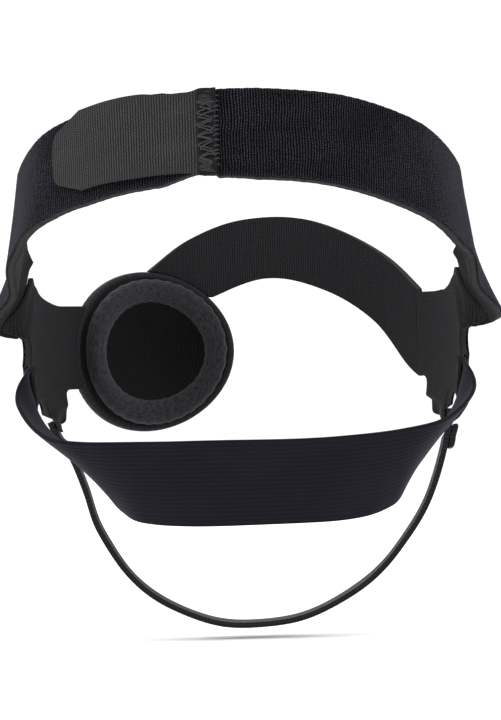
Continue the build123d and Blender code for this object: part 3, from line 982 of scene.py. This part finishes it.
def nape_sway(s, height, half):
    """The elastic's slow waves, its curled edges, and a sag under the left ear."""
    lift = 0.22 * np.sin(s / 14.0) + 0.12 * np.sin(s / 6.1 + 2.0)
    curl = -0.35 * np.abs(height / half) ** 4
    sag = NAPE_SAG * np.exp(-(((s - SAG_MIDDLE) / SAG_REACH) ** 2)) * (0.5 - height / (2 * half))
    return lift + curl, 0.12 * np.sin(s / 9.0) * height / half - sag


NAPE_LIFT = ELASTIC / 2 + 0.12
CHIN_LIFT = WEBBING / 2 + 0.12
OVERHANG = 0.4


def nape_lap(s, depth):
    """The elastic's ends lie on top of the yokes' legs."""
    return depth + NAPE_LIFT * lapped(nape, s)


def chin_lap(s, depth):
    """The webbing's ends do too."""
    return depth + CHIN_LIFT * lapped(chin, s)


def nape_ribs(s, height, half):
    """The ribs' own relief, wandering a little along the elastic."""
    return 0.022 * np.cos(height * TURN / RIB_PITCH + 0.4 * np.sin(s / 12.0))


elastic = strip("nape_elastic_knit", nape, (nape.start - OVERHANG, nape.end + OVERHANG),
                (-ELASTIC / 2, ELASTIC / 2), ELASTIC_KNIT, "knit_elastic", pitch=0.8, across=78,
                corner=0.5, relief=nape_ribs, sway=nape_sway, shape=nape_lap)
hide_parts("nape_elastic")
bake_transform(elastic)


def chin_sway(s, height, half):
    """The webbing's slow waves."""
    lift = 0.25 * np.sin(s / 12.0) + 0.15 * np.sin(s / 5.0 + 0.7)
    return lift, 0.1 * np.sin(s / 7.0) * height / half


stay = strip("chin_stay_webbing", chin, (chin.start - OVERHANG, chin.end + OVERHANG),
             (-WEBBING / 2, WEBBING / 2), WEB, "chin_webbing", pitch=0.8, across=16,
             corner=0.6, sway=chin_sway, shape=chin_lap)
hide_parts("chin_strap")
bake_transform(stay)


FOLD = (chin.end - 12.6, chin.end - 5.4)
FOLD_DEPTHS = (WEBBING / 2 + 0.25, WEBBING / 2 + 1.95)


def fold_bulge(s, height, half):
    """The folded end stands up along its middle."""
    aside = (s - sum(FOLD) / 2) / 3.5
    return 0.45 * np.sqrt(np.clip(1 - aside**2, 0, 1)) + 0.06 * np.sin(height * 1.9)


fold = strip("chin_stay_fold", chin, FOLD, FOLD_DEPTHS, WEB, "chin_webbing", pitch=0.4, across=16,
             corner=0.8, relief=fold_bulge, sway=chin_sway, shape=chin_lap)
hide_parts("chin_strap_fold")
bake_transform(fold)

# ---- seams of the straps, through the yokes' legs under them ----

STRAP_SEAM = 3.2
SEAM_PASSES = ((2.1, 1.5), (1.8, 1.7))
# The strap, which way it runs from its seam, and the seam's half-width and depth.
SEAMS = {
    "upper_seam_stitch_right": (upper, 1, 11.0, OUTSIDE + 0.06),
    "upper_seam_stitch_left": (upper, -1, 11.0, OUTSIDE + 0.06),
    "nape_seam_stitch_right": (nape, 1, 8.8, ELASTIC / 2 + NAPE_LIFT),
    "nape_seam_stitch_left": (nape, -1, 8.8, ELASTIC / 2 + NAPE_LIFT),
    "chin_seam_stitch_right": (chin, -1, 6.2, WEBBING / 2 + CHIN_LIFT),
    "chin_seam_stitch_left": (chin, 1, 6.2, WEBBING / 2 + CHIN_LIFT),
}
for node, (strap, way, half_width, depth) in SEAMS.items():
    seam = (strap.start if way > 0 else strap.end) + way * STRAP_SEAM
    sewn = []
    for reach, pitch in SEAM_PASSES:
        sewn += zigzag(strap, seam, half_width, depth, reach, pitch)
    made = threads(f"{node}_thread", sewn, 0.2, THREAD_BLACK)
    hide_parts(node)
    if node == "upper_seam_stitch_right":
        bend(made, RIGHT_HINGE_START, RIGHT_HINGE_END)
    elif strap is nape:
        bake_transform(made)
    elif strap is chin:
        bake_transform(made)
    else:
        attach(made, "patch")

# ---------------------------------------------------------------- front panels

PIVOT_Y, PIVOT_Z = -44.0, 6.0
YOKE_HUB = 15.5
YOKE_RADIUS = 24.6
YOKE_FRONT_Y = -60.0
CUP_REACH_Y = -76.0
NECK_HALF_WIDTH = 15.0
NECK_FILLET = 2.0
# One leg for each strap: which way it points in degrees, its length and its width.
LEGS = ((35.4, 22.9, 24.0), (-36.0, YOKE_RADIUS, 20.0), (-105.0, YOKE_RADIUS, 15.0))
LEG_LAP = 5.0
LEG_PRESS = 2.2
LEG_TRIM = 0.7
LEG_CORNER = 1.6
LEG_FILLET = 7.0
CUP_TURN = radians(29.0)
CUP_Z = 4.0
CUP_HALF_WIDTH = 33.0
CUP_HALF_HEIGHT = 29.0
BINDING = 2.2
SEAM_GAP = 0.4
BROW_LAP = 0.5
BROW_PROUD = 0.06
NECK_RISE = 1.9
BROW_LOWER = [(-68, -11), (-60, -4), (-48, 13), (-30, 25), (-8, 30), (16, 22)]
BROW_UPPER = [(36, 33), (20, 45), (0, 52), (-25, 51), (-50, 38), (-68, 18)]


def on_cup(theta, grow):
    """Point of the cup's edge ellipse, grown by an amount, on the face cylinder."""
    across = (CUP_HALF_WIDTH + grow) * np.cos(theta)
    up = (CUP_HALF_HEIGHT + grow) * np.sin(theta)
    return np.stack([(CUP_TURN + np.arcsin(across / FACE_RADIUS)) * FACE_RADIUS, CUP_Z + up], -1)


def off_cup(points, grow):
    """Over 1 outside the cup's edge ellipse, under 1 inside it."""
    turned = points[..., 0] / FACE_RADIUS - CUP_TURN
    across, up = FACE_RADIUS * np.sin(turned), points[..., 1] - CUP_Z
    reach = (across / (CUP_HALF_WIDTH + grow)) ** 2 + (up / (CUP_HALF_HEIGHT + grow)) ** 2
    return np.where(np.abs(turned) > pi / 2, 9.0, reach)


def ahead_aside(y, z, turn):
    """How far a point lies along a ray from the hub's middle, and how far off it."""
    return y * cos(turn) + z * sin(turn), np.abs(z * cos(turn) - y * sin(turn))


def bar_gap(y, z, turn, length, half_width, corner):
    """Distance outside a bar that starts at the hub's middle; under 0 inside it."""
    ahead, aside = ahead_aside(y, z, turn)
    off = np.stack([np.abs(ahead - length / 2) - length / 2 + corner, aside - half_width + corner])
    return np.hypot(*np.maximum(off, 0)) + np.minimum(off.max(0), 0) - corner


def joined(a, b, fillet):
    """Two gaps as one outline, with a soft fillet where they meet."""
    share = np.clip(0.5 + 0.5 * (b - a) / fillet, 0, 1)
    return b + (a - b) * share - fillet * share * (1 - share)


OUTLINE_POINTS = 900
HALVINGS = 26


def yoke_outline(front_y, neck_rise):
    """Yoke outline in Y and Z: a hub, one leg for each strap, and a neck that runs forward."""
    angle = np.linspace(0, TURN, OUTLINE_POINTS, endpoint=False)
    neck = PIVOT_Y - front_y
    low, high = np.full(OUTLINE_POINTS, 8.0), np.full(OUTLINE_POINTS, 45.0)
    for _ in range(HALVINGS):
        reach = (low + high) / 2
        y, z = reach * np.cos(angle), reach * np.sin(angle)
        gap = reach - YOKE_HUB
        for turn, length, width in LEGS:
            half = width / 2 - LEG_TRIM
            leg = bar_gap(y, z, radians(turn), length + LEG_LAP, half, LEG_CORNER)
            gap = joined(gap, leg, LEG_FILLET)
        bar = bar_gap(y, z - neck_rise, pi, neck, NECK_HALF_WIDTH, 0.1)
        gap = np.maximum(joined(gap, bar, NECK_FILLET), -y - neck)
        low, high = np.where(gap < 0, reach, low), np.where(gap < 0, high, reach)
    return angle, low


def strap_ends():
    """Places on the face cylinder, and depths, of the middle surfaces of the straps' ends."""
    rows = []
    for strap in (upper, nape, chin):
        for end, inward in ((strap.start, 1), (strap.end, -1)):
            half = float(strap.width(end)) / 2
            heights = np.arange(-half, half + 0.1, 1.0)
            rows += [strap.place(end + inward * step, heights, np.zeros(len(heights)))
                     for step in np.arange(0, LAP + 2.0, 0.5)]
    return face.read(np.vstack(rows))


STRAP_ENDS = strap_ends()


def leg_shape(u, v, depth):
    """Each leg is pressed thin beyond the yoke's own edge, and follows the strap over it."""
    y, z = face.place(u, v, 0.0)[..., 1] - PIVOT_Y, v - PIVOT_Z
    press = np.zeros(len(u))
    for turn, length, width in LEGS:
        ahead, aside = ahead_aside(y, z, radians(turn))
        share = ease(ahead, length - LEG_PRESS, length + 0.2)
        press = np.maximum(press, share * (1 - ease(aside, width / 2, width / 2 + 2.5)))
    gaps = np.hypot(u[:, None] - STRAP_ENDS[:, 0], v[:, None] - STRAP_ENDS[:, 1])
    near = 1 / (gaps + 0.3) ** 4
    follow = (near * STRAP_ENDS[:, 2]).sum(1) / near.sum(1)
    thin = INSIDE + (depth - INSIDE) * (1 - PRESSED_SHARE * press)
    return thin + follow * press


def on_side(angle, reach, side):
    """Outline points round the hub, laid on the cylinder at one side of the head."""
    u = face.from_side(PIVOT_Y + reach * np.cos(angle))
    return np.stack([side * u, PIVOT_Z + reach * np.sin(angle)], -1)


def clear_of_cup(angle, reach, side):
    """Shortens each reach until its point lies outside the cup's seam."""
    low, high = np.zeros_like(reach), reach.copy()
    done = off_cup(on_side(angle, reach, side), SEAM_GAP) > 1
    for _ in range(HALVINGS + 4):
        middle = (low + high) / 2
        outside = off_cup(on_side(angle, middle, side), SEAM_GAP) > 1
        low, high = np.where(outside, middle, low), np.where(outside, high, middle)
    return np.where(done, reach, low)


def brow_edge(stations):
    """One edge of the brow band on the face cylinder, from the right yoke to the cup."""
    edge = smooth(stations)
    edge[:, 0] = face.from_front(edge[:, 0])
    edge = edge[edge[:, 0] > -face.from_side(YOKE_FRONT_Y + BROW_LAP)]
    return edge[off_cup(edge, SEAM_GAP) > 1]


def cup_angle(point):
    """Which way a point lies from the cup's middle, on the cup's own ellipse."""
    across = FACE_RADIUS * sin(point[0] / FACE_RADIUS - CUP_TURN)
    return atan2((point[1] - CUP_Z) / CUP_HALF_HEIGHT, across / CUP_HALF_WIDTH)


def brow_outline():
    """Brow band between its two curves, ending along the right yoke and along the cup."""
    lower, higher = brow_edge(BROW_LOWER), brow_edge(BROW_UPPER)
    arc = on_cup(np.linspace(cup_angle(lower[-1]), cup_angle(higher[0]), 30), SEAM_GAP)
    return np.vstack([lower, arc[1:-1], higher])


right_angle, right_reach = yoke_outline(YOKE_FRONT_Y, NECK_RISE)
left_angle, left_reach = yoke_outline(CUP_REACH_Y, 0.0)
PANELS = {
    "right_yoke": on_side(right_angle, right_reach, -1),
    "left_yoke": on_side(left_angle, clear_of_cup(left_angle, left_reach, 1), 1),
    "brow_band": brow_outline(),
}


def brow_shape(u, v, depth):
    """The band laps a little over the yoke at their joint."""
    return depth + BROW_PROUD


def panel_pile(u, v, gap):
    """Slight unevenness of the panels' pile, flat at their edges."""
    return 0.05 * np.cos(u * 2.1 + np.sin(v)) * np.sin(v * 1.7) * np.clip(gap / 2, 0, 1)


for name, outline in PANELS.items():
    for layer, depths in LAYERS.items():
        fine = layer == "face"
        made = panel(f"{name}_{layer}_cloth", outline, depths,
                     PANEL_LOOP if fine else LAYER_LOOK[layer],
                     spacing=0.8 if fine else 1.6, corner=LAYER_CORNER[layer],
                     relief=panel_pile if fine else None,
                     shape=brow_shape if name == "brow_band" else leg_shape)
        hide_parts(f"{name}_{layer}")
        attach(made, "patch")

# ---- flat seam on the front: brow band to right yoke ----


def flat_seam(line, reach, pitch):
    """Zigzag over a joint that runs along a line of (u, v) points on the face cylinder."""
    travelled = run(line)
    count = int(travelled[-1] / pitch)
    stops = np.linspace(0.6, travelled[-1] - 0.6, count + 1)
    at = rows_at(stops, travelled, line)
    ahead = unit(np.gradient(at, axis=0))
    side = np.stack([-ahead[:, 1], ahead[:, 0]], -1)
    swing = np.where(np.arange(count + 1) % 2, reach, -reach)[:, None]
    holes = at + side * swing + rng.uniform(-0.1, 0.1, at.shape)
    paths = []
    for a, b in zip(holes, holes[1:]):
        out = outward(face, (a[0] + b[0]) / 2, (a[1] + b[1]) / 2)
        paths.append(stitch(face.place(*a, OUTSIDE), face.place(*b, OUTSIDE), out))
    return paths


joint_u = -face.from_side(YOKE_FRONT_Y)
joint = np.array([(joint_u, z) for z in (PIVOT_Z - NECK_HALF_WIDTH + 3.0, PIVOT_Z + 14.0)])
joint_paths = flat_seam(joint, 2.2, 1.3)
front_seam = threads("brow_band_joint_thread", joint_paths, 0.2, THREAD_BLACK)
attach(front_seam, "patch")

# ---------------------------------------------------------------- eye cup

DOME = np.array([29.0, 25.0, 20.0])
DOME_SUNK = 6.0
CUP_WALL = 3.2
CUP_SHELL = 0.8
CUP_FOAM = 1.8
DOME_BLEND = 1.1
CUP_AROUND = 120
CUP_RINGS = 46
CUP_ORIGIN = np.array([FACE_RADIUS * sin(CUP_TURN), FACE_Y - FACE_RADIUS * cos(CUP_TURN), CUP_Z])
CUP_ACROSS = np.array([cos(CUP_TURN), sin(CUP_TURN), 0])
CUP_OUT = np.array([sin(CUP_TURN), -cos(CUP_TURN), 0])


def cup_height(x, y, inward):
    """Height over the cup plane of a surface inside the cup's outer one by an amount."""
    radius = FACE_RADIUS + OUTSIDE - inward
    flange = np.sqrt(radius**2 - x**2) - FACE_RADIUS
    half = DOME - inward
    bulge = np.sqrt(np.clip(1 - (x / half[0]) ** 2 - (y / half[1]) ** 2, 0, 1))
    dome = half[2] * bulge - DOME_SUNK
    share = np.clip(0.5 + (dome - flange) / (2 * DOME_BLEND), 0, 1)
    return flange * (1 - share) + dome * share + DOME_BLEND * share * (1 - share)


def cup_layer(name, outer, inner, look, node):
    """One layer of the cup as a closed shell between two surfaces."""
    theta = np.arange(CUP_AROUND) * TURN / CUP_AROUND
    share = np.linspace(0, 1, CUP_RINGS + 1)[1:, None] ** 0.8
    x = np.append(share * (CUP_HALF_WIDTH - BINDING) * np.cos(theta), 0.0)
    y = np.append(share * (CUP_HALF_HEIGHT - BINDING) * np.sin(theta), 0.0)
    points = []
    for inward in (outer, inner):
        z = cup_height(x, y, inward)
        points.append(CUP_ORIGIN + x[:, None] * CUP_ACROSS + z[:, None] * CUP_OUT)
        points[-1][:, 2] += y
    count, middle = len(x), len(x) - 1
    last = (CUP_RINGS - 1) * CUP_AROUND
    faces = []
    for i in range(0, last, CUP_AROUND):
        for j in range(CUP_AROUND):
            k = (j + 1) % CUP_AROUND
            a, b, c, d = i + j, i + k, i + CUP_AROUND + k, i + CUP_AROUND + j
            faces += [(a, d, c, b), (a + count, b + count, c + count, d + count)]
    for j in range(CUP_AROUND):
        k = (j + 1) % CUP_AROUND
        faces += [(middle, j, k), (middle + count, k + count, j + count)]
        faces.append((last + j, last + j + count, last + k + count, last + k))
    flat = np.tile(np.stack([x, y], -1), (2, 1))
    uvs = [tuple(flat[i]) for corners in faces for i in corners]
    made = piece(name, np.vstack(points), faces, uvs, look)
    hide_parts(node)
    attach(made, "patch")


cup_layer("eye_cup_shell_cloth", 0.0, CUP_SHELL, TRICOT, "eye_cup_shell")
cup_layer("eye_cup_foam", CUP_SHELL, CUP_SHELL + CUP_FOAM, FOAM,
          "eye_cup_core")
cup_layer("eye_cup_lining_cloth", CUP_SHELL + CUP_FOAM, CUP_WALL, LINING_CLOTH,
          "eye_cup_lining")


def wrapped_ring(name, centre_grow, half_wide, depth_middle, half_deep, look, ripple,
                 power=2.6, around=400, section=28):
    """A closed ring along the cup's edge; ripple swells its rounded section along the way."""
    line = on_cup(np.linspace(0, TURN, around, endpoint=False), centre_grow)
    ahead = unit(np.roll(line, -1, 0) - np.roll(line, 1, 0))
    side = np.stack([ahead[:, 1], -ahead[:, 0]], -1)[:, None]
    turn = np.linspace(0, TURN, section, endpoint=False)
    across, deep = (
        np.sign(wave) * np.abs(wave) ** (2 / power) * half
        for wave, half in ((np.cos(turn), half_wide), (np.sin(turn), half_deep))
    )
    travelled = run(line)
    length = travelled[-1] + np.linalg.norm(line[0] - line[-1])
    grow = ripple(travelled[:, None], turn, length)
    spot = line[:, None] + side * (across * grow)[..., None]
    depth = depth_middle + deep * grow
    points = face.place(spot[..., 0], spot[..., 1], depth).reshape(-1, 3)
    girth = np.linspace(0, 2 * (half_wide + half_deep) * 1.6, section + 1)
    faces, uvs = tube(around, section, np.append(travelled, length), girth, closed=True)
    return piece(name, points, faces, uvs, look)


STITCH_LENGTH = 2.6


def pulled_by_stitches(travelled, turn, length):
    """The binding is drawn in a little at each stitch."""
    count = round(length / STITCH_LENGTH)
    pull = 0.5 - 0.5 * np.cos(travelled * TURN * count / length)
    return 0.93 + 0.09 * pull * np.abs(np.sin(turn)) ** 2


BINDING_HALF = BINDING / 2 + 0.45
binding = wrapped_ring("cup_edge_binding_tape", -BINDING / 2, BINDING_HALF, 0.0, OUTSIDE + 0.2,
                       BINDING_TAPE, pulled_by_stitches)
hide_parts("cup_edge_binding")
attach(binding, "patch")

binding_line = on_cup(np.linspace(0, TURN, 721), -BINDING / 2)
binding_run = run(binding_line)
binding_paths = []
for i in range(round(binding_run[-1] / STITCH_LENGTH)):
    stops = [(i + 0.08) * STITCH_LENGTH, (i + 0.92) * STITCH_LENGTH]
    a, b = rows_at(stops, binding_run, binding_line)
    a_top, b_top = (face.place(*spot, OUTSIDE + 0.12) for spot in (a, b))
    binding_paths.append(stitch(a_top, b_top, outward(face, *a), bulge=0.25))
binding_thread = threads("cup_binding_thread", binding_paths, 0.16, THREAD_BLACK)
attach(binding_thread, "patch")

# ---- padded ring round the eye socket ----

CUSHION_WIDTH = 9.0
CUSHION_DEPTH = 6.0
CUSHION_TOP = INSIDE - 0.3
PUCKER_PITCH = 4.6
SWELLS = 3


def puckered(travelled, turn, length):
    """Radial puckers at both sewn edges of the ring, fading out over its crown."""
    folds = round(length / PUCKER_PITCH)
    wave = np.cos(travelled * TURN * folds / length + 0.8 * np.sin(travelled / 9.0))
    near_edge = np.abs(np.cos(turn)) ** 1.5
    on_back = np.clip(np.sin(turn), 0, 1)
    swell = 0.03 * np.sin(travelled * TURN * SWELLS / length)
    return 0.955 + 0.035 * wave * near_edge * (1 - on_back) + swell


cushion = wrapped_ring("eye_cushion_ring_pad", -BINDING - CUSHION_WIDTH / 2, CUSHION_WIDTH / 2,
                       CUSHION_TOP - CUSHION_DEPTH / 2, CUSHION_DEPTH / 2, NAP,
                       puckered, power=2.5, around=520, section=40)
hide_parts("eye_cushion_ring")
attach(cushion, "patch")

# ---------------------------------------------------------------- floor, light and camera


def floor_look():
    """Matt white paper, with a faint tooth."""
    paper = bpy.data.materials.new("studio_paper")
    paper.use_nodes = True
    nodes, links = paper.node_tree.nodes, paper.node_tree.links
    shader = nodes["Principled BSDF"]
    shader.inputs["Base Color"].default_value = (0.97, 0.97, 0.97, 1)
    shader.inputs["Roughness"].default_value = 0.9
    shader.inputs["Specular IOR Level"].default_value = 0.1
    tooth = nodes.new("ShaderNodeTexNoise")
    tooth.inputs["Scale"].default_value = 300.0
    bump = nodes.new("ShaderNodeBump")
    bump.inputs["Distance"].default_value = 0.0002
    links.new(tooth.outputs[0], bump.inputs["Height"])
    links.new(bump.outputs[0], shader.inputs["Normal"])
    return paper


FLOOR_GAP = 0.004
FLOOR_SIZE = 14.0
floor_z = cad_box[0][2] - FLOOR_GAP
bpy.ops.mesh.primitive_plane_add(size=FLOOR_SIZE, location=(0, 0, floor_z))
floor = bpy.context.object
floor.name = "studio_floor"
floor.data.materials.append(floor_look())

scene = bpy.context.scene
scene.world = bpy.data.worlds.new("studio_world")
scene.world.use_nodes = True
sky = scene.world.node_tree.nodes["Background"]
sky.inputs["Color"].default_value = (1.0, 1.0, 1.0, 1)
sky.inputs["Strength"].default_value = 1.12
scene.view_settings.view_transform = "Standard"


def softbox(name, place, target, size, power):
    """A rectangular studio light that points at a target."""
    light = bpy.data.lights.new(name, "AREA")
    light.shape = "RECTANGLE"
    light.size, light.size_y = size
    light.energy = power
    made = bpy.data.objects.new(name, light)
    scene.collection.objects.link(made)
    made.location = place
    direction = Vector(target) - Vector(place)
    made.rotation_euler = direction.to_track_quat("-Z", "Y").to_euler()


BACK_OF_HEAD, BROW = (0, 0.03, 0.02), (0, -0.03, 0.02)
softbox("left_softbox", (0.9, 0.55, 0.35), BACK_OF_HEAD, (0.6, 1.0), 5.0)
softbox("right_softbox", (-0.9, 0.5, 0.3), BACK_OF_HEAD, (0.6, 1.0), 4.0)
softbox("top_softbox", (0.1, 0.5, 1.1), BACK_OF_HEAD, (0.9, 0.9), 4.0)
softbox("front_softbox", (0.2, -1.2, 0.5), BROW, (0.8, 0.8), 4.0)

CAMERA_DISTANCE = 1.09
ROLL = radians(1.5)
lens = bpy.data.cameras.new("camera")
lens.sensor_width, lens.lens = 36.0, 159.5
lens.shift_x = 0.00625
lens.clip_start = 0.05
camera = bpy.data.objects.new("camera", lens)
scene.collection.objects.link(camera)
camera.location = (0, CAMERA_DISTANCE, 0)
camera.rotation_euler = (pi / 2, ROLL, pi)
scene.camera = camera
